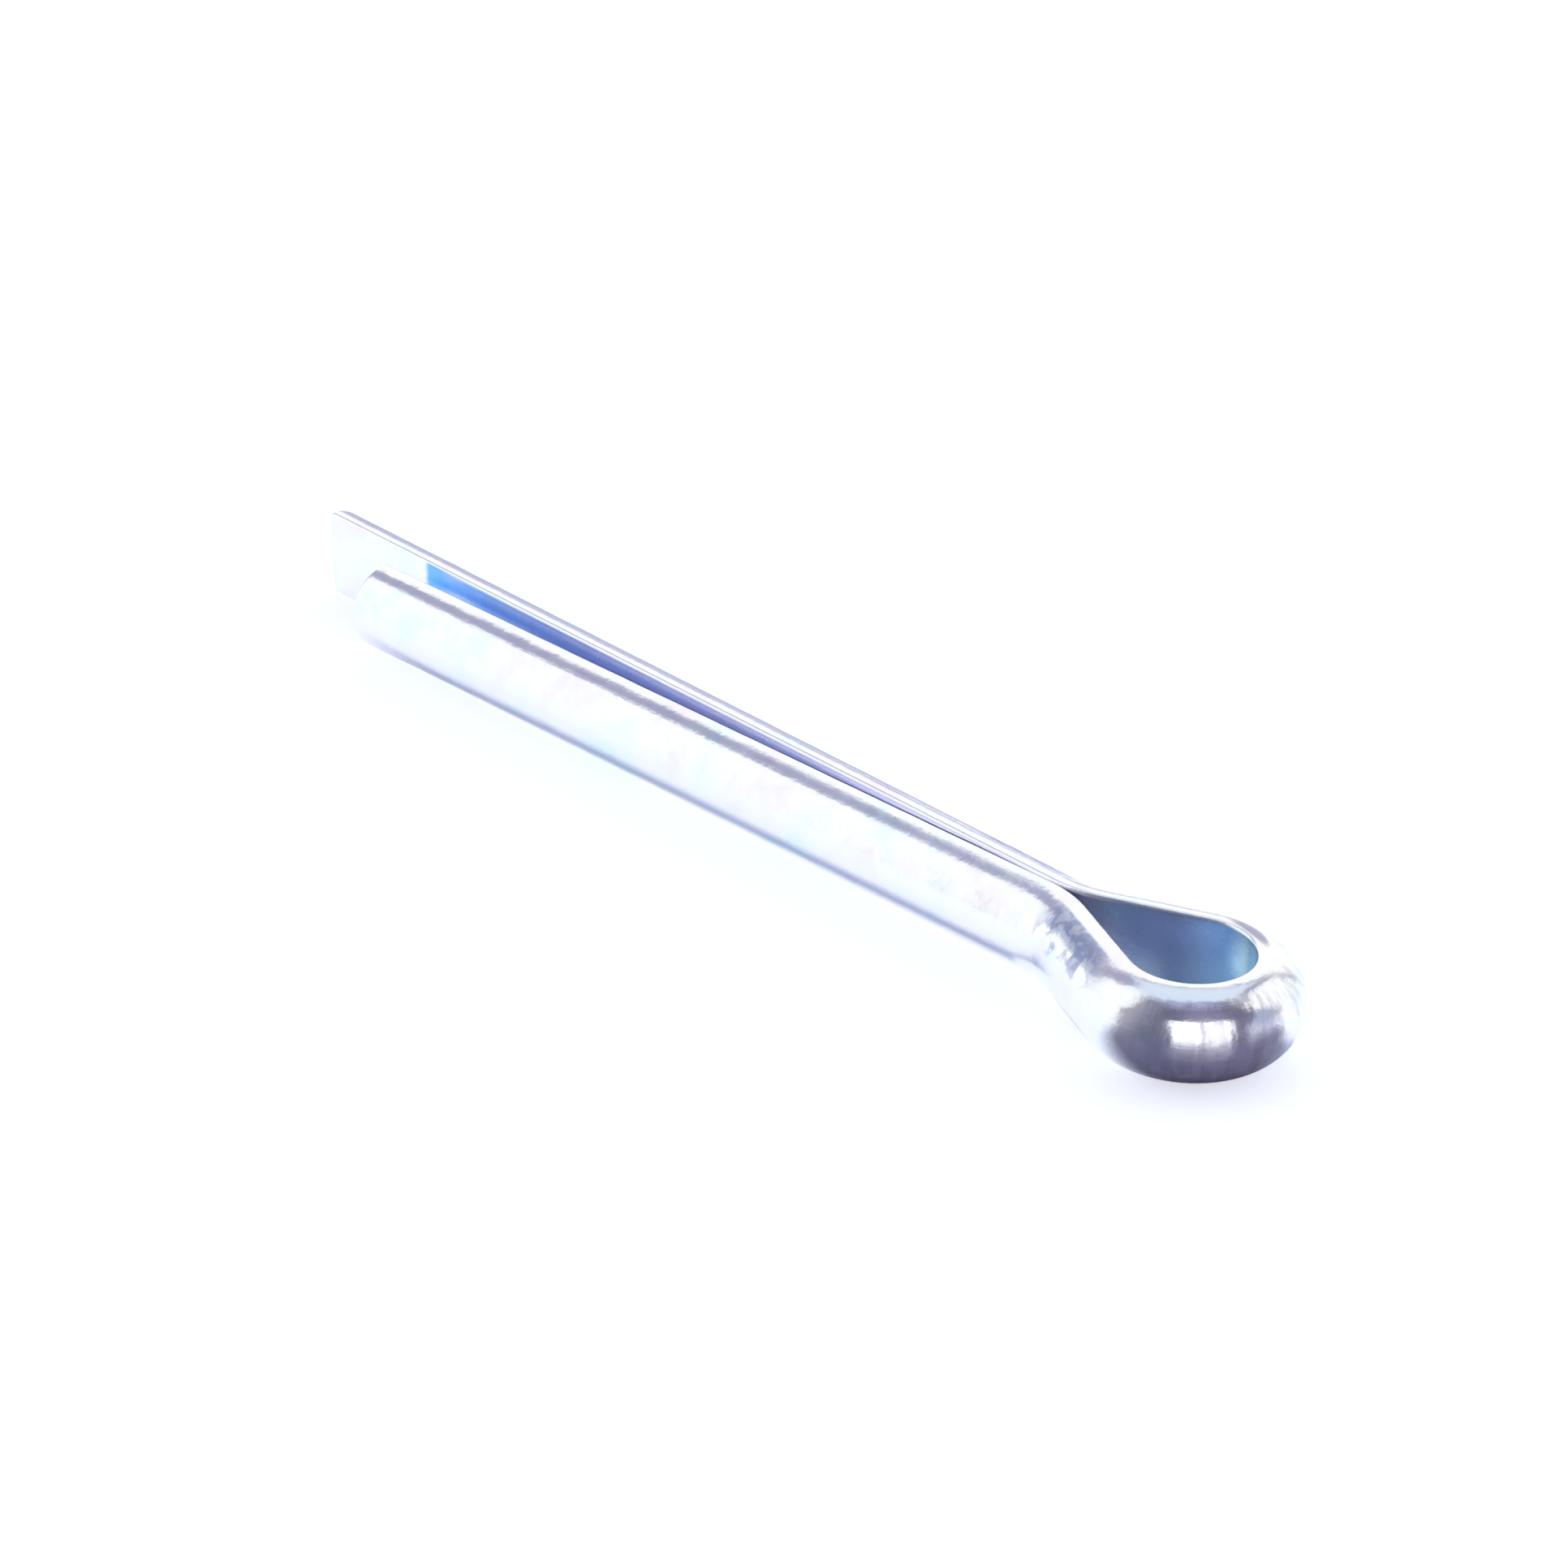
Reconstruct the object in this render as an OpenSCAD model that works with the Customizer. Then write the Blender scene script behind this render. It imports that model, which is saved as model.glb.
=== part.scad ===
// Split cotter pin, bent from one length of half-round wire.
// It lies on its side: the legs run along X, and the hole of the eye is upright, along Z.
// The origin is on the shank's axis, where the shoulders seat on the rim of a drilled hole.

/* [Wire] */
// Radius of the half-round wire, half the shank's diameter
wire_r = 2.2; // [1.5:0.1:3]
// Rounding of the wire's two long edges
edge_r = 0.2; // [0.1:0.05:0.6]
// How far these edges stay below the height of a full half round
edge_drop = 0.03; // [0.01:0.01:0.1]

/* [Legs] */
// Shorter leg, from the seat to its tip
short_leg = 44.5; // [20:0.5:100]
// How far the longer leg reaches past the shorter one
leg_step = 6.5; // [0:0.1:10]
// Angle between the flats of the two legs
spread = 2; // [0.5:0.5:12]
// Gap between the flats at the shoulders, where it is narrowest
shoulder_gap = 0.06; // [0.04:0.02:0.4]

/* [Eye] */
// Inner radius of the eye
eye_r = 2.65; // [2:0.05:5]
// Radius of the flat where a leg turns out into the eye
shoulder_r = 5.7; // [4.5:0.1:9]
// Angle between the pin's axis and a straight side of the eye
shoulder_angle = 24.1; // [22:0.1:35]
// Play of the shank in the drilled hole, on the diameter
hole_play = 0.4; // [0.1:0.1:0.8]

/* [Hidden] */
$fn = 96;

half_spread = spread / 2;
// A straight side of the eye runs from the end of the shoulder's arc to the start of the eye's arc.
side_top = eye_r * cos(shoulder_angle);
side_foot = shoulder_r * (1 - cos(shoulder_angle)) + shoulder_gap / 2;
side_length = (side_top - side_foot) / sin(shoulder_angle);
// The eye's centre and the seat, along X from the line where the two shoulders are closest
eye_x = (shoulder_r + eye_r) * sin(shoulder_angle) + side_length * cos(shoulder_angle);
shoulder_outer_r = shoulder_r - wire_r;
seat_turn = acos((shoulder_outer_r - hole_play / 2) / shoulder_outer_r);
seat_x = shoulder_outer_r * sin(seat_turn);

// Turns about Z. The second turn is what the first loses when it is written with six decimals.
module turn(angle) {
    written = atan2(round(1e6 * sin(angle)), round(1e6 * cos(angle)));
    rotate(angle) rotate(angle - written) children();
}

// The section of the wire: the flat lies on the Y axis, and the round side faces +X.
module wire_section() {
    top = wire_r - edge_drop;
    round_y = top - edge_r;
    intersection() {
        circle(wire_r);
        union() {
            translate([0, -round_y]) square([wire_r, 2 * round_y]);
            translate([edge_r, -top]) square([wire_r, 2 * top]);
            for (y = [-round_y, round_y])
                translate([edge_r, y]) circle(edge_r);
        }
    }
}

// A straight length of wire along -Y, with its flat on the YZ plane
module wire_bar(length) {
    rotate([90, 0, 0]) linear_extrude(length) wire_section();
}

// One side of the pin, from the end of the eye's arc back to the tip. The eye's centre is at the
// origin, and the arc ends on the XZ plane.
module side(leg) {
    turn_back = shoulder_angle + half_spread;
    leg_length = (leg - seat_x - shoulder_r * sin(half_spread)) / cos(half_spread);
    translate([eye_r, 0, 0]) wire_bar(side_length);
    translate([eye_r + shoulder_r, -side_length, 0]) {
        rotate(180) rotate_extrude(angle = turn_back)
            translate([shoulder_r, 0]) mirror([1, 0]) wire_section();
        turn(turn_back) translate([-shoulder_r, 0, 0]) wire_bar(leg_length);
    }
}

module cotter_pin() {
    eye_turn = 90 + shoulder_angle;
    color("lightsteelblue") translate([eye_x - seat_x, 0, 0]) {
        turn(-eye_turn) {
            rotate_extrude(angle = 2 * eye_turn) translate([eye_r, 0]) wire_section();
            side(short_leg);
        }
        mirror([0, 1, 0]) turn(-eye_turn) side(short_leg + leg_step);
    }
}

cotter_pin();
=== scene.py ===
# Split cotter pin, lying on its side on a pale floor in a small studio.
import math

import bpy
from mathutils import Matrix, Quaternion, Vector


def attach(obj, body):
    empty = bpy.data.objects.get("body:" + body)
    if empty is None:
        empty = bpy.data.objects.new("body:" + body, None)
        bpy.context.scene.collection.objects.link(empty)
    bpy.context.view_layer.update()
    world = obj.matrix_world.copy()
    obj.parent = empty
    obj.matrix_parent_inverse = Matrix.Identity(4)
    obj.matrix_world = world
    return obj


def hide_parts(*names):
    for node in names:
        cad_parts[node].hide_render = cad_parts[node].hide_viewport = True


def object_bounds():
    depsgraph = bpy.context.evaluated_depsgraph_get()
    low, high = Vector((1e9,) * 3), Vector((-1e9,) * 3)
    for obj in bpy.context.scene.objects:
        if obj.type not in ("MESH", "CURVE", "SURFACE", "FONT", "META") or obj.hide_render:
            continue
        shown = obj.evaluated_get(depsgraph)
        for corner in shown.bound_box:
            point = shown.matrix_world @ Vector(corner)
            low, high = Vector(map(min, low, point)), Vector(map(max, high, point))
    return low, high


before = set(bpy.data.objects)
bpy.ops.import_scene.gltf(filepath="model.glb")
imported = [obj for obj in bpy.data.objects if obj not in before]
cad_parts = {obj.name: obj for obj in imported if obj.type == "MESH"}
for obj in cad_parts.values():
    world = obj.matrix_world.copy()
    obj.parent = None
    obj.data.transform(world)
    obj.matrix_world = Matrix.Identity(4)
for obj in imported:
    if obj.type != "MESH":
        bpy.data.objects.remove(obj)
cad_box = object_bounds()

# ---------------------------------------------------------------------------
# Camera
# A long lens, 18 cm from the pin and in front of its eye, so that the legs run away from it to the
# left. It looks down at 28 degrees, and is turned a degree about its own line of sight.
# ---------------------------------------------------------------------------
MM = 0.001
CAMERA_PLACE = Vector((97.66, -111.684, 84.569)) * MM
LOOKED_AT = Vector((-17.93, 0.495, 0)) * MM
CAMERA_ROLL = math.radians(1.025)
LENS = 93.56
SENSOR = 36.0

bpy.ops.object.camera_add(location=CAMERA_PLACE)
camera = bpy.context.object
camera.name = "camera"
camera.rotation_mode = "QUATERNION"
camera.rotation_quaternion = (LOOKED_AT - CAMERA_PLACE).to_track_quat("-Z", "Y") @ Quaternion(
    (0, 0, 1), CAMERA_ROLL
)
camera.data.lens = LENS
camera.data.sensor_width = SENSOR
camera.data.clip_start = 10 * MM
camera.data.clip_end = 20.0
bpy.context.scene.camera = camera
bpy.context.scene.view_settings.view_transform = "Standard"

# ---------------------------------------------------------------------------
# Studio
# A dim room, with pale walls and white screens behind the pin and to its left, and a window with
# two panes in front of it. The camera sees white instead, and the metal mirrors the room.
# ---------------------------------------------------------------------------


def srgb(code, alpha=1.0):
    """The linear colour of an sRGB hex code."""
    parts = [int(code[i : i + 2], 16) / 255 for i in (1, 3, 5)]
    return [
        p / 12.92 if p <= 0.04045 else ((p + 0.055) / 1.055) ** 2.4 for p in parts
    ] + [alpha]


def node(tree, kind, inputs=None, **settings):
    """Adds a node. An input's value is a number, a colour or the socket it is linked from."""
    made = tree.nodes.new(kind)
    for name, value in settings.items():
        setattr(made, name, value)
    for name, value in (inputs or {}).items():
        if isinstance(value, bpy.types.NodeSocket):
            tree.links.new(value, made.inputs[name])
        else:
            made.inputs[name].default_value = value
    return made


def toward(azimuth, elevation):
    """The unit vector at an azimuth from +X and a height over the floor, in degrees."""
    a, e = math.radians(azimuth), math.radians(elevation)
    return Vector((math.cos(a) * math.cos(e), math.sin(a) * math.cos(e), math.sin(e)))


ROOM = "#6C6880"
STUDIO_WHITE = "#FFFFFF"
STUDIO_STRENGTH = 1.1
# Each screen or wall, from the farthest to the nearest, in degrees as the pin sees it: azimuth,
# elevation, radius of its full colour, radius where it has faded out, and its colour
STUDIO_PARTS = [
    (110, 5, 62, 84, STUDIO_WHITE),
    (0, 90, 4, 27, "#A8AECE"),
    (-25, 54, 4, 24, "#807D98"),
    (-150, 20, 25, 65, "#A9A5B2"),
    (140, 45, 44, 50, "#D9E3F2"),
    (66, 33, 26, 28, "#8682A2"),
    (66, 33, 21, 23, STUDIO_WHITE),
    (88, 8, 0, 30, STUDIO_WHITE),
    (135, 10, 46.1, 47.4, "#A39DB2"),
    (135, 10, 42, 43.8, STUDIO_WHITE),
    (-150, 10, 28, 33, STUDIO_WHITE),
    (-150, 38, 20, 26, STUDIO_WHITE),
    (26, 8, 10, 22, "#C4C8DC"),
    (60, 3, 9, 14, STUDIO_WHITE),
    (50, 40, 13, 16, STUDIO_WHITE),
    (34, 22, 5, 16, "#ACB0CA"),
    (133, 0, 8, 12, "#C3BDD4"),
    (-177, 24, 6, 11, "#A9B2CC"),
    (178, 36, 6, 10, "#A6A0B8"),
    (178, 49, 8.5, 11, "#A2A3BD"),
]

world = bpy.data.worlds.new("studio")
world.use_nodes = True
bpy.context.scene.world = world
tree = world.node_tree
tree.nodes.clear()
looking = node(tree, "ShaderNodeTexCoord").outputs["Generated"]
colour = None
for azimuth, elevation, full, faded, code in STUDIO_PARTS:
    near = node(
        tree,
        "ShaderNodeVectorMath",
        {0: looking, 1: toward(azimuth, elevation)},
        operation="DOT_PRODUCT",
    )
    share = node(
        tree,
        "ShaderNodeMapRange",
        {
            "Value": near.outputs["Value"],
            "From Min": math.cos(math.radians(faded)),
            "From Max": math.cos(math.radians(full)),
        },
        interpolation_type="SMOOTHSTEP",
    )
    colour = node(
        tree,
        "ShaderNodeMix",
        {
            "Factor": share.outputs["Result"],
            6: colour or srgb(ROOM),
            7: srgb(code),
        },
        data_type="RGBA",
    ).outputs[2]
studio = node(
    tree, "ShaderNodeBackground", {"Color": colour, "Strength": STUDIO_STRENGTH}
)
white = node(tree, "ShaderNodeBackground", {"Color": srgb(STUDIO_WHITE), "Strength": 1.0})
rays = node(tree, "ShaderNodeLightPath")
shown = node(
    tree,
    "ShaderNodeMixShader",
    {0: rays.outputs["Is Camera Ray"], 1: studio.outputs[0], 2: white.outputs[0]},
)
node(tree, "ShaderNodeOutputWorld", {"Surface": shown.outputs[0]})

# The window: two panes with a bar between them, 45 cm from the eye
WINDOW_FROM_EYE = 450 * MM
WINDOW_AZIMUTH = -35.2
WINDOW_ELEVATION = 22
PANE = (218 * MM, 364 * MM)
WINDOW_BAR = 32 * MM
PANE_RADIANCE = 1.35
eye_place = Vector((8, -1, 0)) * MM
window_way = toward(WINDOW_AZIMUTH, WINDOW_ELEVATION)
window_turn = window_way.to_track_quat("Z", "Y")
for i, side in enumerate((-1, 1)):
    aside = window_turn @ Vector((side * (PANE[0] + WINDOW_BAR) / 2, 0, 0))
    bpy.ops.object.light_add(
        type="AREA", location=eye_place + window_way * WINDOW_FROM_EYE + aside
    )
    pane = bpy.context.object
    pane.name = f"window_pane_{i + 1}"
    pane.rotation_mode = "QUATERNION"
    pane.rotation_quaternion = window_turn
    pane.data.shape = "RECTANGLE"
    pane.data.size, pane.data.size_y = PANE
    pane.data.energy = PANE_RADIANCE * math.pi * PANE[0] * PANE[1]

# ---------------------------------------------------------------------------
# Paper
# The pin lies on matt white paper, cut from a wide roll. For the camera it is as bright as the
# backdrop, and so it is in the metal where the pin doesn't stand over it or shade it. Between the
# legs and inside the eye, where the pin shades it, it glows in the metal as well: a painted light,
# with a painted shade left in the eye's middle.
# ---------------------------------------------------------------------------
FLOOR_HALF = 3.0
PAPER_LIFT = 0.55
# Where the paper is bright in the metal, in millimetres from the pin's axis or along it. Each pair
# is where the brightness starts and where it is full.
OUTSIDE_LEGS = (2.2, 3.7)
BETWEEN_LEGS = (2.4, 1.4)
PAST_TIPS = (-39, -47)
PAST_NECK = (-2.7, -1.9)
BESIDE_NECK = (1.3, 1.9)
BEHIND_EYE = (0, 4)
SHORT_OF_EYE_END = (10, 8)
# The slope, against the pin's axis, of the line from which BESIDE_NECK is measured
NECK_SLOPE = -0.5
# The painted shade that the eye throws inside itself, on the paper's glow: its middle, its half
# width, and what it leaves
EYE_SHADE_X = 5.3
EYE_SHADE_HALF = (1.0, 1.9)
EYE_SHADE_LEAVES = 0.27
bpy.ops.object.select_all(action="DESELECT")
bpy.ops.mesh.primitive_plane_add(size=2 * FLOOR_HALF, location=(0, 0, cad_box[0].z))
floor = bpy.context.object
floor.name = "floor"
bpy.ops.object.transform_apply(location=True, rotation=True, scale=True)
paper = bpy.data.materials.new("white_paper")
paper.use_nodes = True
tree = paper.node_tree
tree.nodes.clear()
lit = node(tree, "ShaderNodeBsdfDiffuse", {"Color": srgb("#E0E7FA")})
at = node(tree, "ShaderNodeTexCoord").outputs["Object"]
at = node(tree, "ShaderNodeVectorMath", {0: at, "Scale": 1 / MM}, operation="SCALE")
at = node(tree, "ShaderNodeSeparateXYZ", {0: at.outputs[0]}).outputs
aside = node(tree, "ShaderNodeMath", {0: at["Y"]}, operation="ABSOLUTE").outputs[0]
before = node(tree, "ShaderNodeMath", {0: 0.0, 1: at["Y"]}, operation="SUBTRACT").outputs[0]
askew = node(tree, "ShaderNodeMath", {0: at["X"], 1: at["Y"]}, operation="ADD").outputs[0]
slanting = node(
    tree, "ShaderNodeMath", {0: at["X"], 1: NECK_SLOPE, 2: before}, operation="MULTIPLY_ADD"
).outputs[0]
from_shade = node(tree, "ShaderNodeMath", {0: at["X"], 1: EYE_SHADE_X}, operation="SUBTRACT")
from_shade = node(
    tree, "ShaderNodeMath", {0: from_shade.outputs[0]}, operation="ABSOLUTE"
).outputs[0]
in_front, past_legs, off_axis, past_tips, between, short_of_end, past_neck, near_side, unshaded = (
    node(
        tree,
        "ShaderNodeMapRange",
        {"Value": value, "From Min": start, "From Max": full, "To Min": least},
        interpolation_type="SMOOTHSTEP",
    ).outputs[0]
    for value, (start, full), least in (
        (before, OUTSIDE_LEGS, 0.0),
        (askew, BEHIND_EYE, 0.0),
        (aside, OUTSIDE_LEGS, 0.0),
        (at["X"], PAST_TIPS, 0.0),
        (aside, BETWEEN_LEGS, 0.0),
        (at["X"], SHORT_OF_EYE_END, 0.0),
        (at["X"], PAST_NECK, 0.0),
        (slanting, BESIDE_NECK, 0.0),
        (from_shade, EYE_SHADE_HALF, EYE_SHADE_LEAVES),
    )
)
not_behind = node(
    tree, "ShaderNodeMath", {0: before, 1: -OUTSIDE_LEGS[0]}, operation="GREATER_THAN"
).outputs[0]
beside_eye, off_tips, in_gap, at_neck = (
    node(tree, "ShaderNodeMath", {0: one, 1: other}, operation="MULTIPLY").outputs[0]
    for one, other in (
        (past_legs, off_axis),
        (past_tips, not_behind),
        (between, short_of_end),
        (past_neck, near_side),
    )
)
# Between the legs and inside the eye the paper glows in the metal though the pin shades it there: a
# painted light, dimmed by the eye's painted shade
in_gap = node(tree, "ShaderNodeMath", {0: in_gap, 1: unshaded}, operation="MULTIPLY").outputs[0]
paper_glow_share = in_front
for part in (beside_eye, off_tips, in_gap, at_neck):
    paper_glow_share = node(
        tree, "ShaderNodeMath", {0: paper_glow_share, 1: part}, operation="MAXIMUM"
    ).outputs[0]
rays = node(tree, "ShaderNodeLightPath").outputs
mirrored = node(
    tree, "ShaderNodeMath", {0: rays["Is Glossy Ray"], 1: paper_glow_share}, operation="MULTIPLY"
)
seen = node(
    tree,
    "ShaderNodeMath",
    {0: rays["Is Camera Ray"], 1: mirrored.outputs[0]},
    operation="MAXIMUM",
)
lift = node(
    tree, "ShaderNodeMath", {0: seen.outputs[0], 1: PAPER_LIFT}, operation="MULTIPLY"
)
glow = node(
    tree,
    "ShaderNodeEmission",
    {"Color": srgb(STUDIO_WHITE), "Strength": lift.outputs[0]},
)
both = node(tree, "ShaderNodeAddShader", {0: lit.outputs[0], 1: glow.outputs[0]})
node(tree, "ShaderNodeOutputMaterial", {"Surface": both.outputs[0]})
floor.data.materials.append(paper)

# ---------------------------------------------------------------------------
# Dark sheet, a painted shade
# A polished grey sheet lies between the eye and the camera: a painted shade that stands in for the
# shade on the floor in front of and under the eye, for the metal to mirror. Only reflections show
# it.
# Its rounded corner is under the eye, its two edges run away to the left and the right, and its rim
# is soft.
# ---------------------------------------------------------------------------
SHEET_CORNER = Vector((4.8, -3.9, 0)) * MM
SHEET_AZIMUTH = -37.6
SHEET_EDGE_SLOPE = math.tan(math.radians(13))
SHEET_CORNER_WIDTH = 14.2 * MM
SHEET_RIM = 2.7 * MM
SHEET_SIZE = 2.0
SHEET_LIFT = 0.02 * MM
sheet_place = SHEET_CORNER.copy()
sheet_place.z = cad_box[0].z + SHEET_LIFT
bpy.ops.mesh.primitive_plane_add(
    size=SHEET_SIZE, location=sheet_place, rotation=(0, 0, math.radians(SHEET_AZIMUTH))
)
sheet = bpy.context.object
sheet.name = "painted_shade_sheet"
sheet.visible_camera = False
sheet.visible_diffuse = False
sheet.visible_shadow = False
shade_sheet_material = bpy.data.materials.new("painted_shade_grey")
shade_sheet_material.use_nodes = True
tree = shade_sheet_material.node_tree
tree.nodes.clear()
at = node(tree, "ShaderNodeTexCoord").outputs["Object"]
at = node(tree, "ShaderNodeSeparateXYZ", {0: at}).outputs
across = node(tree, "ShaderNodeCombineXYZ", {"X": at["Y"], "Y": SHEET_CORNER_WIDTH}).outputs[0]
across = node(tree, "ShaderNodeVectorMath", {0: across}, operation="LENGTH").outputs["Value"]
edge_at = node(
    tree,
    "ShaderNodeMath",
    {0: across, 1: SHEET_EDGE_SLOPE, 2: -SHEET_CORNER_WIDTH * SHEET_EDGE_SLOPE},
    operation="MULTIPLY_ADD",
)
past_edge = node(
    tree, "ShaderNodeMath", {0: at["X"], 1: edge_at.outputs[0]}, operation="SUBTRACT"
)
share = node(
    tree,
    "ShaderNodeMapRange",
    {"Value": past_edge.outputs[0], "From Min": 0.0, "From Max": SHEET_RIM},
    interpolation_type="SMOOTHSTEP",
)
clear = node(tree, "ShaderNodeBsdfTransparent")
# The sheet's grey is a painted shade for the metal to mirror
grey = node(
    tree, "ShaderNodeBsdfPrincipled", {"Base Color": srgb("#8F8AA4"), "Roughness": 0.08}
)
both = node(
    tree,
    "ShaderNodeMixShader",
    {0: share.outputs["Result"], 1: clear.outputs[0], 2: grey.outputs[0]},
)
node(tree, "ShaderNodeOutputMaterial", {"Surface": both.outputs[0]})
sheet.data.materials.append(shade_sheet_material)

# ---------------------------------------------------------------------------
# Glowing blue strip, a painted reflection
# A glowing strip, which is no lamp, lies between the legs, below what the camera sees of the
# farther leg's flat, which mirrors it: a painted reflection of the blue that the flats pass between
# each other in the gap. It rises towards the necks, and only reflections show it. Its near side
# glows white, so that it ends in white.
# ---------------------------------------------------------------------------
STRIP_ENDS = (-44.2 * MM, -1.5 * MM)
STRIP_HEIGHTS = (0.93 * MM, 2.11 * MM)
STRIP_NEAR_SIDE = (-0.85 * MM, -0.12 * MM)
STRIP_FAR_SIDE = 0.4 * MM
WHITE_EDGE = (-0.66 * MM, 0.25 * MM)
WHITE_BLUR = 0.06 * MM
STRIP_GLOW_STRENGTH = 1.15
STRIP_GLOW_COLOURS = [
    (0.0, "#E4F4FF"),
    (0.04, "#74B2F6"),
    (0.12, "#5C84CC"),
    (0.26, "#687AB0"),
    (0.5, "#7A80AC"),
    (0.66, "#8C92BC"),
    (0.82, "#CCD0EA"),
    (1.0, "#ECEEF8"),
]


def set_stops(ramp, stops):
    """Gives a colour ramp its stops. Each is a share of the ramp's length and a hex code."""
    ends = ramp.color_ramp.elements
    for end in (0, -1):
        ends[end].position = stops[end][0]
        ends[end].color = srgb(stops[end][1])
    for share, code in stops[1:-1]:
        ends.new(share).color = srgb(code)


strip_run = STRIP_ENDS[1] - STRIP_ENDS[0]
strip_rise = STRIP_HEIGHTS[1] - STRIP_HEIGHTS[0]
bpy.ops.mesh.primitive_plane_add(
    size=1,
    location=(sum(STRIP_ENDS) / 2, 0, sum(STRIP_HEIGHTS) / 2),
    rotation=(0, -math.atan2(strip_rise, strip_run), 0),
)
strip = bpy.context.object
strip.name = "painted_reflection_strip"
strip.scale = (math.hypot(strip_run, strip_rise), 1, 1)
bpy.ops.object.transform_apply(location=False, rotation=False, scale=True)
for v in strip.data.vertices:
    v.co.y = STRIP_FAR_SIDE if v.co.y > 0 else STRIP_NEAR_SIDE[v.co.x > 0]
strip.visible_camera = False
strip.visible_diffuse = False
strip.visible_shadow = False
gap_reflection_glow = bpy.data.materials.new("painted_gap_reflection")
gap_reflection_glow.use_nodes = True
tree = gap_reflection_glow.node_tree
tree.nodes.clear()
at = node(tree, "ShaderNodeTexCoord").outputs["Object"]
at = node(tree, "ShaderNodeSeparateXYZ", {0: at}).outputs
along = node(
    tree,
    "ShaderNodeMapRange",
    {"Value": at["X"], "From Min": -strip_run / 2, "From Max": strip_run / 2},
)
ramp = node(tree, "ShaderNodeValToRGB", {"Fac": along.outputs[0]})
set_stops(ramp, STRIP_GLOW_COLOURS)
white_edge = node(
    tree,
    "ShaderNodeMapRange",
    {
        "Value": along.outputs[0],
        "To Min": WHITE_EDGE[0],
        "To Max": WHITE_EDGE[1],
    },
)
inside_edge = node(
    tree, "ShaderNodeMath", {0: at["Y"], 1: white_edge.outputs[0]}, operation="SUBTRACT"
)
blue = node(
    tree,
    "ShaderNodeMapRange",
    {"Value": inside_edge.outputs[0], "From Min": -WHITE_BLUR, "From Max": WHITE_BLUR},
    interpolation_type="SMOOTHSTEP",
)
strip_glow_colour = node(
    tree,
    "ShaderNodeMix",
    {"Factor": blue.outputs[0], 6: srgb(STUDIO_WHITE), 7: ramp.outputs[0]},
    data_type="RGBA",
)
# The strip's glow is the painted reflection: azure near the tips, darker blue further in, pale at
# the necks
glow = node(
    tree, "ShaderNodeEmission", {"Color": strip_glow_colour.outputs[2], "Strength": STRIP_GLOW_STRENGTH}
)
node(tree, "ShaderNodeOutputMaterial", {"Surface": glow.outputs[0]})
strip.data.materials.append(gap_reflection_glow)

# ---------------------------------------------------------------------------
# Cotter pin
# The whole pin is one length of half-round steel wire, drawn to a D section, cut to length and bent
# round a mandrel, then zinc plated. It is modelled straight first, with its flat side at y = 0.
# ---------------------------------------------------------------------------
WIRE_R = 2.2 * MM
EDGE_R = 0.2 * MM
EDGE_DROP = 0.03 * MM
EDGE_HEIGHT = WIRE_R - EDGE_DROP
SHORT_LEG = 44.5 * MM
LONG_LEG = 51.0 * MM
HALF_SPREAD = math.radians(1)
SHOULDER_GAP = 0.06 * MM
EYE_R = 2.65 * MM
SHOULDER_R = 5.7 * MM
SHOULDER_ANGLE = math.radians(24.1)
HOLE_PLAY = 0.4 * MM
CIRCLE_STEPS = 96
CLOSE = 1e-6

side_top = EYE_R * math.cos(SHOULDER_ANGLE)
side_foot = SHOULDER_R * (1 - math.cos(SHOULDER_ANGLE)) + SHOULDER_GAP / 2
side_length = (side_top - side_foot) / math.sin(SHOULDER_ANGLE)
shoulder_outer_r = SHOULDER_R - WIRE_R
seat_x = shoulder_outer_r * math.sin(
    math.acos((shoulder_outer_r - HOLE_PLAY / 2) / shoulder_outer_r)
)
short_straight, long_straight = (
    (leg - seat_x - SHOULDER_R * math.sin(HALF_SPREAD)) / math.cos(HALF_SPREAD)
    for leg in (SHORT_LEG, LONG_LEG)
)
shoulder_turn = SHOULDER_ANGLE + HALF_SPREAD
eye_turn = math.pi + 2 * SHOULDER_ANGLE
# Each stretch of the wire from the shorter leg's tip: its length and how far it turns left
STRETCHES = [
    (short_straight, 0.0),
    (SHOULDER_R * shoulder_turn, -shoulder_turn),
    (side_length, 0.0),
    (EYE_R * eye_turn, eye_turn),
    (side_length, 0.0),
    (SHOULDER_R * shoulder_turn, -shoulder_turn),
    (long_straight, 0.0),
]
wire_length = sum(length for length, turn in STRETCHES)


def select_only(piece):
    """Makes a piece the only selected one, and the active one."""
    bpy.ops.object.select_all(action="DESELECT")
    piece.select_set(True)
    bpy.context.view_layer.objects.active = piece


def pick(piece, mode, chosen):
    """Selects the vertices or edges of a piece that a test picks by its place, in edit mode."""
    if bpy.context.mode != "EDIT_MESH":
        bpy.ops.object.mode_set(mode="EDIT")
    bpy.ops.mesh.select_mode(type=mode)
    bpy.ops.mesh.select_all(action="DESELECT")
    bpy.ops.object.mode_set(mode="OBJECT")
    mesh = piece.data
    if mode == "VERT":
        for v in mesh.vertices:
            v.select = chosen(v.co)
    else:
        for e in mesh.edges:
            e.select = chosen(*(mesh.vertices[i].co for i in e.vertices))
    bpy.ops.object.mode_set(mode="EDIT")


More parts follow.
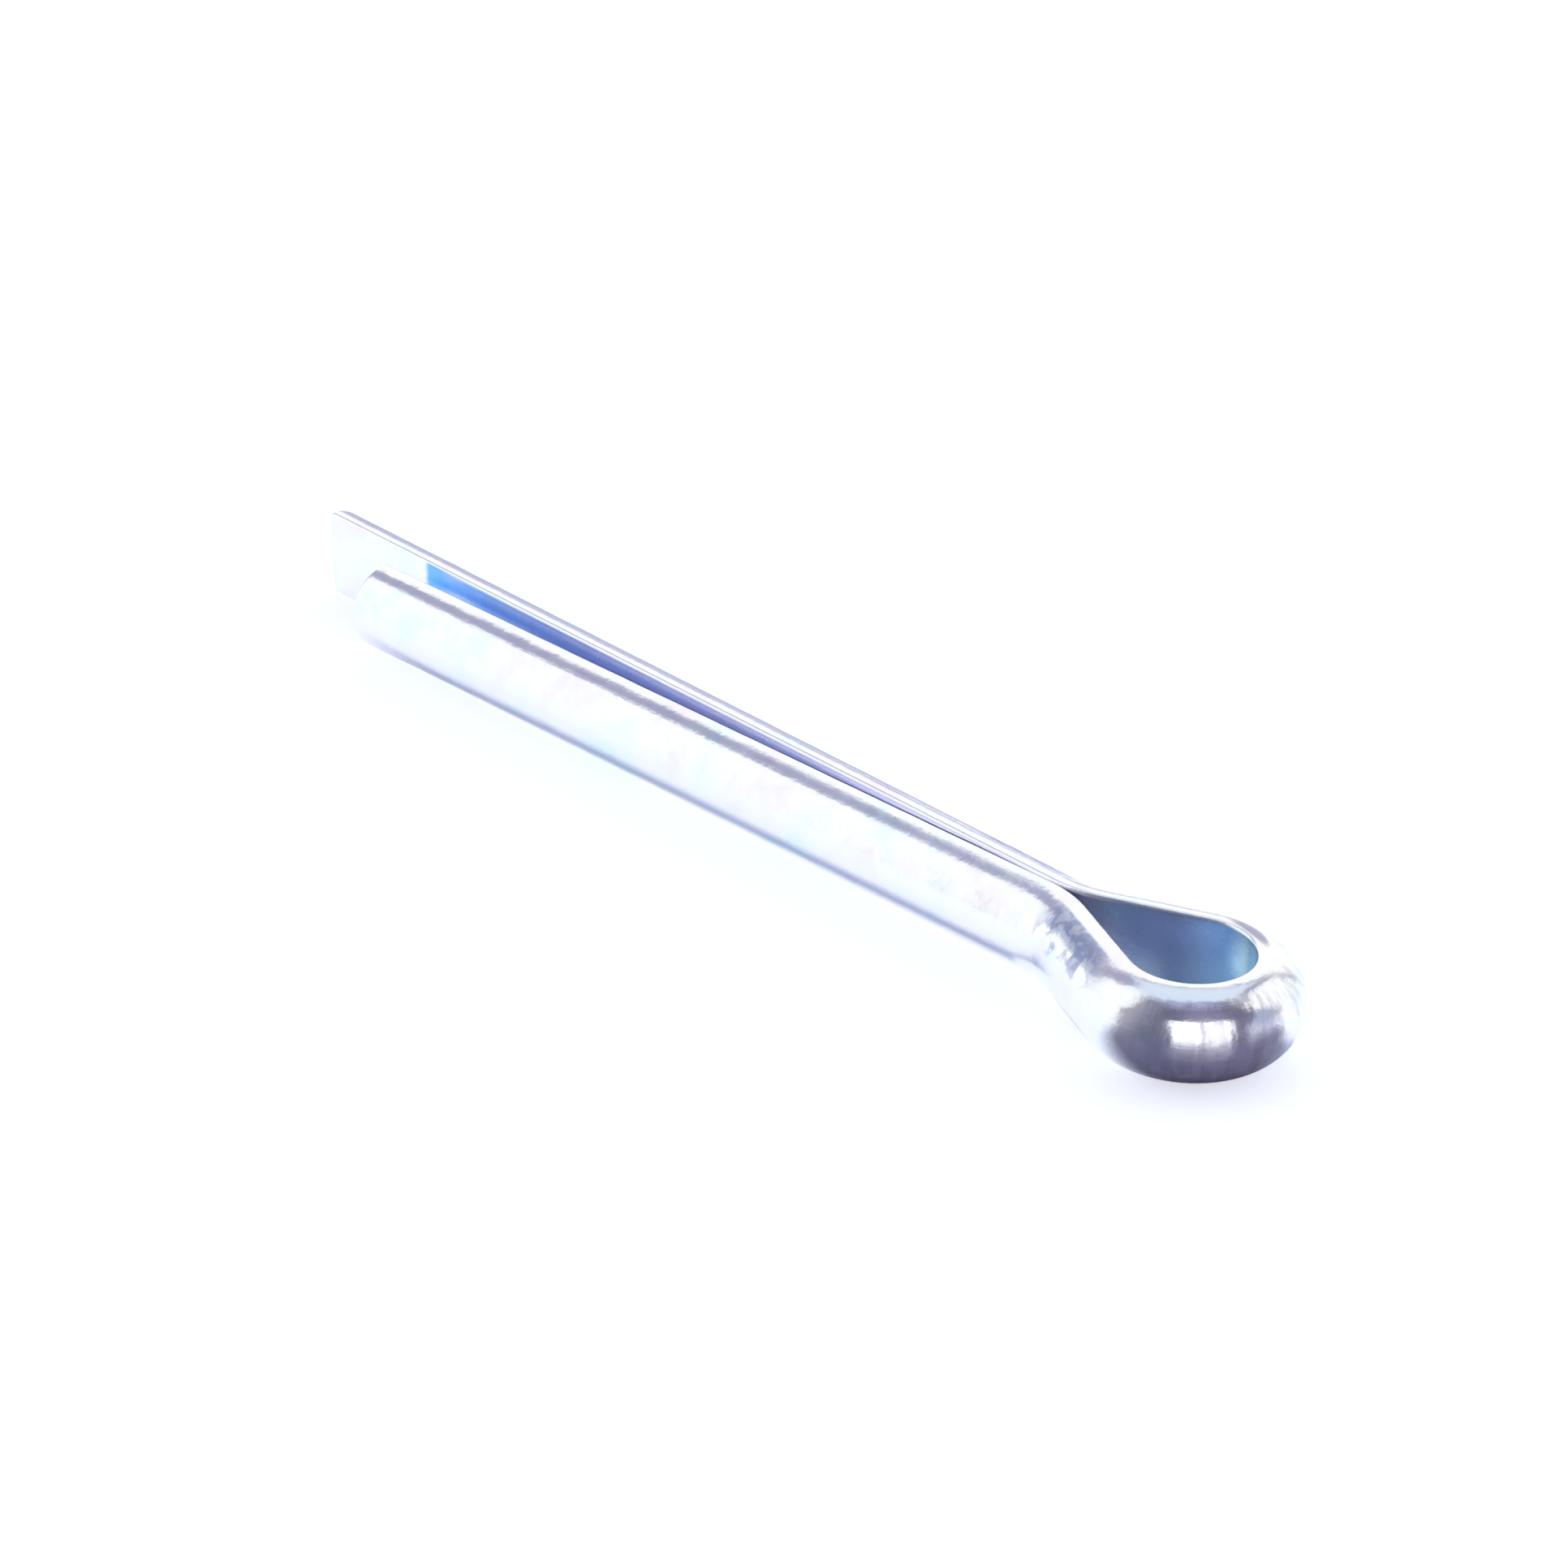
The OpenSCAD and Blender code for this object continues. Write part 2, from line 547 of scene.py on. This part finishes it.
bpy.ops.object.select_all(action="DESELECT")
bpy.ops.mesh.primitive_circle_add(
    vertices=CIRCLE_STEPS, radius=WIRE_R, fill_type="NGON", rotation=(0, math.pi / 2, 0)
)
wire = bpy.context.object
wire.name = "wire"
bpy.ops.object.transform_apply(location=True, rotation=True, scale=True)
bpy.ops.object.mode_set(mode="EDIT")
for place, outward in (
    ((0, 0, 0), (0, 1, 0)),
    ((0, 0, EDGE_HEIGHT), (0, 0, 1)),
    ((0, 0, -EDGE_HEIGHT), (0, 0, -1)),
):
    bpy.ops.mesh.select_all(action="SELECT")
    bpy.ops.mesh.bisect(
        plane_co=place, plane_no=outward, clear_outer=True, threshold=CLOSE / 10
    )
pick(
    wire,
    "VERT",
    lambda co: abs(co.y) < CLOSE and abs(abs(co.z) - EDGE_HEIGHT) < CLOSE,
)
bpy.ops.mesh.bevel(offset=EDGE_R, segments=7, affect="VERTICES")
bpy.ops.mesh.select_all(action="SELECT")
bpy.ops.mesh.extrude_region_move(TRANSFORM_OT_translate={"value": (wire_length, 0, 0)})

# The cut ends are rounded a little, as the shears and the plating barrel leave them
TIP_ROUND = 0.18 * MM
pick(
    wire,
    "EDGE",
    lambda a, b: abs(a.x - b.x) < CLOSE and min(a.x, wire_length - a.x) < CLOSE,
)
bpy.ops.mesh.bevel(offset=TIP_ROUND, segments=5, affect="EDGES")

# Rings every quarter of a millimetre, so that the wire bends smoothly
RING_CUTS = (7, 59)
for cuts in RING_CUTS:
    pick(wire, "EDGE", lambda a, b: abs(a.x - b.x) > 0.5 * MM)
    bpy.ops.mesh.subdivide(number_cuts=cuts)
bpy.ops.mesh.select_all(action="SELECT")
bpy.ops.mesh.normals_make_consistent(inside=False)
bpy.ops.object.mode_set(mode="OBJECT")

# The straight wire's own coordinates stay with it as an attribute, in millimetres
drawn = wire.data.attributes.new("drawn", "FLOAT_VECTOR", "POINT")
for v, at in zip(wire.data.vertices, drawn.data):
    at.vector = v.co / MM

# The surface is a little wavy, from the drawing die and from tumbling in the plating barrel. The
# necks are dented as well, where the jaws of the bending tool held the upper side.
WAVE_LENGTH = 1.6 * MM
WAVE_HEIGHT = 0.022 * MM
DENT_LENGTH = 0.8 * MM
DENT_HEIGHT = 0.025 * MM
NECK_MIDDLE = short_straight + SHOULDER_R * shoulder_turn + 1.7 * MM
NECK_HALF = 3.6 * MM
JAW_SIDE = (-0.7 * MM, -1.1 * MM)
JAW_TOP = (0.8 * MM, 1.4 * MM)


def ease(value, start, end):
    """Rises smoothly from 0 at the start to 1 at the end."""
    share = min(1, max(0, (value - start) / (end - start)))
    return share * share * (3 - 2 * share)


held = wire.vertex_groups.new(name="held_by_the_jaws")
for v in wire.data.vertices:
    from_neck = abs(min(v.co.x, wire_length - v.co.x) - NECK_MIDDLE)
    weight = ease(from_neck, NECK_HALF, NECK_HALF / 3)
    weight *= ease(v.co.y, *JAW_SIDE) * ease(v.co.z, *JAW_TOP)
    if weight:
        held.add([v.index], weight, "REPLACE")
select_only(wire)
for name, length, height, group in (
    ("waves", WAVE_LENGTH, WAVE_HEIGHT, ""),
    ("dents", DENT_LENGTH, DENT_HEIGHT, "held_by_the_jaws"),
):
    clouds = bpy.data.textures.new(name, "CLOUDS")
    clouds.noise_scale = length
    clouds.noise_depth = 1
    rise = wire.modifiers.new(name, "DISPLACE")
    rise.texture = clouds
    rise.texture_coords = "LOCAL"
    rise.strength = height
    rise.mid_level = 0.5
    rise.vertex_group = group
    bpy.ops.object.modifier_apply(modifier=name)
wire.vertex_groups.clear()

# The wire is bent round a mandrel into the eye, and its two ends are folded together into the
# legs, with the flats facing each other
ARC_STEP = math.radians(0.75)
place = Vector((-SHOULDER_R * math.sin(HALF_SPREAD) - seat_x, 0, 0))
place.y = SHOULDER_R * math.cos(HALF_SPREAD) - SHOULDER_R - SHOULDER_GAP / 2
heading = HALF_SPREAD
place -= short_straight * Vector((math.cos(heading), math.sin(heading), 0))
route = [place.copy()]
for length, turn in STRETCHES:
    steps = max(1, math.ceil(abs(turn) / ARC_STEP))
    for _ in range(steps):
        chord = length / steps
        if turn:
            chord = abs(2 * length / turn * math.sin(turn / steps / 2))
        heading += turn / steps / 2
        place = place + chord * Vector((math.cos(heading), math.sin(heading), 0))
        heading += turn / steps / 2
        route.append(place.copy())
path = bpy.data.curves.new("route", "CURVE")
path.dimensions = "2D"
line = path.splines.new("POLY")
line.points.add(len(route) - 1)
for point, at in zip(line.points, route):
    point.co = (*at, 1)
guide = bpy.data.objects.new("route", path)
bpy.context.scene.collection.objects.link(guide)
select_only(wire)
bend = wire.modifiers.new("bend", "CURVE")
bend.object = guide
bend.deform_axis = "POS_X"
bpy.ops.object.modifier_apply(modifier=bend.name)
bpy.data.objects.remove(guide)
SHARP_FROM = math.radians(40)
bpy.ops.object.shade_smooth_by_angle(angle=SHARP_FROM)

# Barrel zinc plate with a clear blue passivate: bright and nearly neutral on the round side, and
# bluer on the flats. Over that, the flats' colour carries painted reflection and painted shade.
zinc = bpy.data.materials.new("blue_passivated_zinc_plate")
zinc.use_nodes = True
tree = zinc.node_tree
tree.nodes.clear()
drawn_at = node(tree, "ShaderNodeAttribute", attribute_name="drawn").outputs["Vector"]
apart = node(tree, "ShaderNodeSeparateXYZ", {0: drawn_at}).outputs

# Distances along the wire, in millimetres: from the nearer tip, from the middle of the neck, and
# from the middle of the marks that the bend left, which lie more on the longer leg's side
eye_apex = sum(length for length, turn in STRETCHES[:3]) + EYE_R * eye_turn / 2
MARKS_MIDDLE = eye_apex + 1.0 * MM
to_far_end = node(
    tree, "ShaderNodeMath", {0: wire_length / MM, 1: apart["X"]}, operation="SUBTRACT"
)
to_end = node(
    tree,
    "ShaderNodeMath",
    {0: apart["X"], 1: to_far_end.outputs[0]},
    operation="MINIMUM",
).outputs[0]
off_neck = node(
    tree, "ShaderNodeMath", {0: to_end, 1: NECK_MIDDLE / MM}, operation="SUBTRACT"
).outputs[0]
off_marks = node(
    tree, "ShaderNodeMath", {0: apart["X"], 1: MARKS_MIDDLE / MM}, operation="SUBTRACT"
).outputs[0]
off_neck, off_marks, height = (
    node(tree, "ShaderNodeMath", {0: value}, operation="ABSOLUTE").outputs[0]
    for value in (off_neck, off_marks, apart["Z"])
)

# Where each finish begins and where it is full, in millimetres of the straight wire
FLAT_SIDE = (-0.06, -0.01)
OFF_TIPS = (7.5, 7.9)
IN_NECK = (NECK_HALF / MM, 1.5)
RUBBED_TOP = (0.5, 0.9)
OFF_RIM = (-0.66, -0.8)
EDGE_TOP = (1.85, 2.0)
EDGE_SIDE = (-0.32, -0.2)
MARKED = (5.2, 3.6)
OUTER_SIDE = (-0.9, -1.3)
flat, off_tips, in_neck, on_top, off_rim, near_edge, by_flat, on_bend, outside = (
    node(
        tree,
        "ShaderNodeMapRange",
        {"Value": value, "From Min": start, "From Max": full},
        interpolation_type="SMOOTHSTEP",
    ).outputs[0]
    for value, (start, full) in (
        (apart["Y"], FLAT_SIDE),
        (to_end, OFF_TIPS),
        (off_neck, IN_NECK),
        (apart["Z"], RUBBED_TOP),
        (apart["Y"], OFF_RIM),
        (height, EDGE_TOP),
        (apart["Y"], EDGE_SIDE),
        (off_marks, MARKED),
        (apart["Y"], OUTER_SIDE),
    )
)
round_neck = node(
    tree, "ShaderNodeMath", {0: in_neck, 1: flat}, operation="SUBTRACT", use_clamp=True
).outputs[0]
deep, upper, on_edge, stretched = (
    node(tree, "ShaderNodeMath", {0: one, 1: other}, operation="MULTIPLY").outputs[0]
    for one, other in (
        (flat, off_tips),
        (on_top, off_rim),
        (near_edge, by_flat),
        (on_bend, outside),
    )
)
in_jaws = node(tree, "ShaderNodeMath", {0: round_neck, 1: upper}, operation="MULTIPLY").outputs[0]

# The round side's tint drifts between faint cyan and faint lavender over a few millimetres
DRIFT_SIZE = 2.86
drift = node(
    tree,
    "ShaderNodeTexNoise",
    {"Vector": drawn_at, "Scale": 1 / DRIFT_SIZE, "Detail": 3.0, "Roughness": 0.6},
).outputs[0]
cyan, lavender = (
    node(
        tree,
        "ShaderNodeMapRange",
        {"Value": drift, "From Min": 0.5, "From Max": full},
        interpolation_type="SMOOTHSTEP",
    ).outputs[0]
    for full in (0.72, 0.3)
)
tint = node(
    tree,
    "ShaderNodeMix",
    {"Factor": cyan, 6: srgb("#F5F7FA"), 7: srgb("#E6F6F9")},
    data_type="RGBA",
).outputs[2]
tint = node(
    tree,
    "ShaderNodeMix",
    {"Factor": lavender, 6: tint, 7: srgb("#F0EEF6")},
    data_type="RGBA",
).outputs[2]

# The flats' colour along the wire: the blue passivate with painted reflection and painted shade
# over it. It is bluest near the tips, a painted reflection of the gap, palest at the necks, and a
# darker steel blue inside the eye, a painted shade. Each place is in millimetres from the shorter
# leg's tip.
FLATS_BLUE_AND_PAINTED_SHADE = [
    (0, "#C4DEFF"),
    (20, "#D4DCFC"),
    (40, "#EAEAFC"),
    (56, "#EAEAFC"),
    (58.8, "#D8FFFF"),
    (60, "#AADCFA"),
    (61.3, "#A0BEDA"),
    (62.4, "#8BA0BB"),
    (64.2, "#93A6BD"),
    (66, "#C7CBD4"),
    (69.5, "#EAEAFC"),
    (98, "#D4DCFC"),
    (108, "#C4DEFF"),
    (109.2, "#80C4FF"),
]
to_share = node(
    tree,
    "ShaderNodeMapRange",
    {"Value": apart["X"], "From Min": 0.0, "From Max": wire_length / MM},
)
flats_blue_and_shade = node(tree, "ShaderNodeValToRGB", {"Fac": to_share.outputs[0]})
set_stops(flats_blue_and_shade, [(place * MM / wire_length, code) for place, code in FLATS_BLUE_AND_PAINTED_SHADE])
# The flats take this colour of passivate with painted reflection and shade
tint = node(
    tree,
    "ShaderNodeMix",
    {"Factor": deep, 6: tint, 7: flats_blue_and_shade.outputs[0]},
    data_type="RGBA",
).outputs[2]

# The jaws rubbed the plate grey: all over beside the rim, and only in patches farther down
PATCH_SIZE = 0.87
SPECKLE_SIZE = 0.435
patches = node(
    tree,
    "ShaderNodeTexNoise",
    {"Vector": drawn_at, "Scale": 1 / PATCH_SIZE, "Detail": 2.5, "Roughness": 0.55},
)
nearer_rim = node(
    tree,
    "ShaderNodeMapRange",
    {"Value": apart["Y"], "From Min": -2.2, "From Max": -0.9, "To Min": -0.12, "To Max": 0.2},
)
patches = node(
    tree, "ShaderNodeMath", {0: patches.outputs[0], 1: nearer_rim.outputs[0]}, operation="ADD"
)
patches = node(
    tree,
    "ShaderNodeMapRange",
    {"Value": patches.outputs[0], "From Min": 0.44, "From Max": 0.56},
    interpolation_type="SMOOTHSTEP",
)
rubbed = node(
    tree, "ShaderNodeMath", {0: patches.outputs[0], 1: in_jaws}, operation="MULTIPLY"
).outputs[0]
speckle = node(
    tree,
    "ShaderNodeTexNoise",
    {"Vector": drawn_at, "Scale": 1 / SPECKLE_SIZE, "Detail": 1.5, "Roughness": 0.5},
)
speckle = node(
    tree,
    "ShaderNodeMapRange",
    {"Value": speckle.outputs[0], "From Min": 0.48, "From Max": 0.66},
    interpolation_type="SMOOTHSTEP",
)
rub_tint = node(
    tree,
    "ShaderNodeMix",
    {"Factor": speckle.outputs[0], 6: srgb("#A6B1CD"), 7: srgb("#C8D0E2")},
    data_type="RGBA",
)
tint = node(
    tree,
    "ShaderNodeMix",
    {"Factor": rubbed, 6: tint, 7: rub_tint.outputs[2]},
    data_type="RGBA",
).outputs[2]

# The bend drew the outside of the eye into faint marks that cross the wire, 0.3 mm apart
MARK_SIZE = (0.294, 1.43, 1.43)
MARK_SHARE = 0.4
across = node(
    tree,
    "ShaderNodeVectorMath",
    {0: drawn_at, 1: MARK_SIZE},
    operation="DIVIDE",
)
marks = node(
    tree,
    "ShaderNodeTexNoise",
    {"Vector": across.outputs[0], "Scale": 1.0, "Detail": 2.5, "Roughness": 0.6},
).outputs[0]
marked = node(
    tree,
    "ShaderNodeMapRange",
    {"Value": marks, "From Min": 0.46, "From Max": 0.64, "To Max": MARK_SHARE},
    interpolation_type="SMOOTHSTEP",
)
marked = node(
    tree, "ShaderNodeMath", {0: marked.outputs[0], 1: stretched}, operation="MULTIPLY"
).outputs[0]
tint = node(
    tree,
    "ShaderNodeMix",
    {"Factor": marked, 6: tint, 7: srgb("#BAB8C8")},
    data_type="RGBA",
).outputs[2]

# A small grey patch on the rim, on the eye's far side
GREY_PATCH_MIDDLE = (59.2, -0.45, 2.15)
GREY_PATCH_HALF = (1.4, 0.35, 0.6)
grey_patch = node(
    tree,
    "ShaderNodeVectorMath",
    {0: drawn_at, 1: GREY_PATCH_MIDDLE},
    operation="SUBTRACT",
)
grey_patch = node(
    tree,
    "ShaderNodeVectorMath",
    {0: grey_patch.outputs[0], 1: GREY_PATCH_HALF},
    operation="DIVIDE",
)
grey_patch = node(
    tree, "ShaderNodeVectorMath", {0: grey_patch.outputs[0]}, operation="LENGTH"
)
grey_patch = node(
    tree,
    "ShaderNodeMapRange",
    {"Value": grey_patch.outputs["Value"], "From Min": 1.0, "From Max": 0.5},
    interpolation_type="SMOOTHSTEP",
)
tint = node(
    tree,
    "ShaderNodeMix",
    {"Factor": grey_patch.outputs[0], 6: tint, 7: srgb("#A4A2BC")},
    data_type="RGBA",
).outputs[2]

# Roughness: polished by the die, in small clouds, and duller on the flat side, along the edges, in
# the jaw marks and in the marks of the bend
POLISHED = (0.12, 0.2)
CLOUD_SIZE = 0.77
DULL_FLAT = 0.13
DULL_EDGE = 0.06
DULL_RUBBED = 0.12
DULL_MARKED = 0.2
clouding = node(
    tree,
    "ShaderNodeTexNoise",
    {"Vector": drawn_at, "Scale": 1 / CLOUD_SIZE, "Detail": 4.0, "Roughness": 0.6},
)
rough = node(
    tree,
    "ShaderNodeMapRange",
    {
        "Value": clouding.outputs[0],
        "From Min": 0.3,
        "From Max": 0.7,
        "To Min": POLISHED[0],
        "To Max": POLISHED[1],
    },
).outputs[0]
for where, duller in (
    (deep, DULL_FLAT),
    (on_edge, DULL_EDGE),
    (rubbed, DULL_RUBBED),
    (marked, DULL_MARKED),
):
    rough = node(
        tree, "ShaderNodeMath", {0: where, 1: duller, 2: rough}, operation="MULTIPLY_ADD"
    ).outputs[0]

# Draw lines run along the wire, about 0.15 mm apart and up to 10 mm long, except in the jaw marks
LINE_SIZE = (10, 0.154, 0.154)
LINE_DEPTH = 0.004 * MM
along = node(
    tree,
    "ShaderNodeVectorMath",
    {0: drawn_at, 1: LINE_SIZE},
    operation="DIVIDE",
)
lines = node(
    tree,
    "ShaderNodeTexNoise",
    {"Vector": along.outputs[0], "Scale": 1.0, "Detail": 2.0, "Roughness": 0.5},
)
uncrushed = node(tree, "ShaderNodeMath", {0: 1.0, 1: in_jaws}, operation="SUBTRACT")
bumpy = node(
    tree,
    "ShaderNodeBump",
    {
        "Height": lines.outputs[0],
        "Distance": LINE_DEPTH,
        "Strength": uncrushed.outputs[0],
    },
)
# The plate's grain is drawn about 0.35 mm wide; the real crystals are far finer
GRAIN_SIZE = 0.345
GRAIN_DEPTH = 0.011 * MM
grain = node(
    tree,
    "ShaderNodeTexNoise",
    {"Vector": drawn_at, "Scale": 1 / GRAIN_SIZE, "Detail": 3.0, "Roughness": 0.55},
)
bumpy = node(
    tree,
    "ShaderNodeBump",
    {
        "Height": grain.outputs[0],
        "Distance": GRAIN_DEPTH,
        "Strength": 1.0,
        "Normal": bumpy.outputs[0],
    },
)
MARK_DEPTH = 0.012 * MM
bumpy = node(
    tree,
    "ShaderNodeBump",
    {
        "Height": marks,
        "Distance": MARK_DEPTH,
        "Strength": stretched,
        "Normal": bumpy.outputs[0],
    },
)
shader = node(
    tree,
    "ShaderNodeBsdfPrincipled",
    {
        "Base Color": tint,
        "Metallic": 1.0,
        "Roughness": rough,
        "Normal": bumpy.outputs[0],
    },
)
node(tree, "ShaderNodeOutputMaterial", {"Surface": shader.outputs[0]})
wire.data.materials.clear()
wire.data.materials.append(zinc)
wire.name = "cotter_pin_wire"
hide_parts("cotter_pin")
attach(wire, "root")
